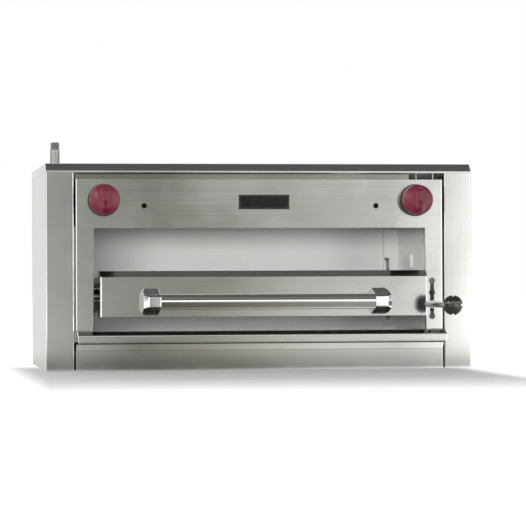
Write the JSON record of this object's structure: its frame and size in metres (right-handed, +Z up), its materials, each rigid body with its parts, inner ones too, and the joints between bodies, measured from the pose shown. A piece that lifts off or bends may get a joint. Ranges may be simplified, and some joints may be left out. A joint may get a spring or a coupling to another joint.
{
  "type": "gas cheese melter",
  "caption": "Wide stainless gas cheese melter with burners above a mouth, a pull-out rack that lifts and locks, a tube handle, a drip tray and a gas inlet pipe.",
  "frame": {"origin": "middle of the cabinet's footprint, on the face that it stands on", "axes": "+Z up, -Y out of the mouth, +X to the right of someone who stands before it"},
  "size_m": [0.9144, 0.7172, 0.5041],
  "materials": {
    "stainless_steel": "brushed, satin",
    "bright_steel": "polished",
    "knob_plastic": "satin burgundy",
    "black_plastic": "glossy",
    "bezel": "black enamel",
    "nameplate": "black enamel, blank",
    "black_iron": "matt",
    "galvanised": "zinc coated",
    "cast_iron": "as cast",
    "tile_ceramic": "matt",
    "fibre": "matt",
    "brass": "turned",
    "plated_steel": "zinc plated"
  },
  "bodies": {
    "cabinet": {"left_side_panel": "stainless_steel", "right_side_panel": "stainless_steel", "top_panel": "stainless_steel", "bottom_panel": "galvanised", "back_panel": "galvanised", "control_panel": "stainless_steel", "nameplate": "nameplate", "lower_front_panel": "stainless_steel", "vent_baffle": "galvanised", "vent_brackets": "galvanised", "left_liner": "stainless_steel", "right_liner": "stainless_steel", "back_liner": "stainless_steel", "side_insulation": "fibre", "back_insulation": "fibre", "wall_brackets": "stainless_steel", "left_guide_channel": "stainless_steel", "right_guide_channel": "stainless_steel", "guide_screws": "plated_steel", "tray_runners": "galvanised", "burner_rails": "galvanised", "left_burner_body": "cast_iron", "right_burner_body": "cast_iron", "burner_tiles": "tile_ceramic", "radiant_screens": "stainless_steel", "venturi_tubes": "black_iron", "gas_inlet_pipe": "galvanised", "supply_pipe": "black_iron", "gas_manifold": "black_iron", "pipe_elbows": "black_iron", "left_gas_valve": "brass", "right_gas_valve": "brass", "burner_orifices": "brass", "pilot_valves": "brass", "pilot_burners": "plated_steel", "pilot_tubes": "brass", "knob_bezels": "bezel"},
    "left_knob": {"left_knob": "knob_plastic", "left_valve_stem": "brass"},
    "right_knob": {"right_knob": "knob_plastic", "right_valve_stem": "brass"},
    "drip_tray": {"drip_tray_front": "stainless_steel", "drip_tray_pan": "stainless_steel"},
    "carriage": {"left_carriage_rail": "stainless_steel", "right_carriage_rail": "stainless_steel", "carriage_cross_bar": "stainless_steel", "carriage_rollers": "plated_steel", "counter_springs": "plated_steel", "selector_bracket": "plated_steel", "selector_spring": "plated_steel"},
    "selector": {"selector_rod": "bright_steel", "selector_knob": "black_plastic"},
    "rack": {"rack_front": "stainless_steel", "handle_screws": "plated_steel", "rack_frame": "stainless_steel", "rack_grid": "bright_steel", "rack_rollers": "plated_steel", "left_handle_bracket": "bright_steel", "right_handle_bracket": "bright_steel", "handle_tube": "bright_steel"}
  },
  "joints": [
    {"name": "left_knob_turn", "type": "hinge", "parent": "cabinet", "child": "left_knob", "pos_m": [-0.335, -0.25, 0.36015], "axis": [0, -1, 0], "range_deg": [0, 90]},
    {"name": "right_knob_turn", "type": "hinge", "parent": "cabinet", "child": "right_knob", "pos_m": [0.335, -0.25, 0.36015], "axis": [0, -1, 0], "range_deg": [0, 90]},
    {"name": "rack_lift", "type": "slide", "parent": "cabinet", "child": "carriage", "axis": [0, 0, 1], "range_m": [-0.0254, 0.0508], "deforming": ["counter_springs"]},
    {"name": "rack_slide", "type": "slide", "parent": "carriage", "child": "rack", "axis": [0, -1, 0], "range_m": [0, 0.28]},
    {"name": "selector_pull", "type": "slide", "parent": "carriage", "child": "selector", "axis": [0, -1, 0], "range_m": [0, 0.012], "stiffness_N_per_m": 1200, "springref_m": -0.01},
    {"name": "tray_slide", "type": "slide", "parent": "cabinet", "child": "drip_tray", "axis": [0, -1, 0], "range_m": [0, 0.38]}
  ]
}
